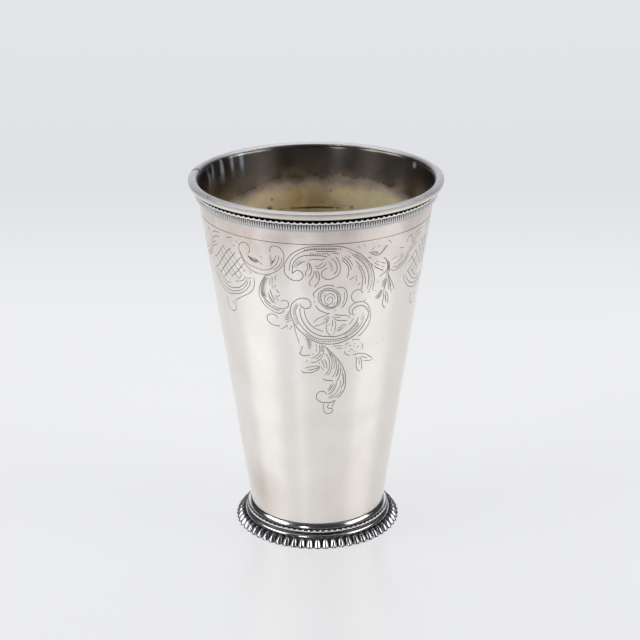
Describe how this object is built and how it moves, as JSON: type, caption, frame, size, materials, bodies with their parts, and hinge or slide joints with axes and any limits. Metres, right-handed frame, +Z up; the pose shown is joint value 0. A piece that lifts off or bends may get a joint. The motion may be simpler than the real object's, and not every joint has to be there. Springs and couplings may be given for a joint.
{
  "type": "silver beaker",
  "caption": "Tall tapered silver beaker with a moulded lip, a twisted wire and fluted band below it, and a low foot with a gadrooned border.",
  "frame": {"origin": "on the beaker's axis, in the plane of the surface that the foot stands on", "axes": "+Z up along the beaker's axis, from foot to lip; X and Y across, with -Y towards the viewer of the picture"},
  "size_m": [0.092, 0.092, 0.135],
  "materials": {
    "sheet_silver": "satin silver with light tarnish",
    "polished_silver": "polished silver, dark in the recesses",
    "oxidised_silver": "oxidised silver, bright on the raised edges"
  },
  "bodies": {
    "root": {"beaker_wall": "sheet_silver", "base_disc": "sheet_silver", "lip_moulding": "polished_silver", "lip_twist_wire": "oxidised_silver", "fluted_band": "oxidised_silver", "foot_collar": "polished_silver", "foot_twist_wire": "oxidised_silver", "foot_moulding": "polished_silver", "gadroon_border": "polished_silver"}
  },
  "joints": []
}
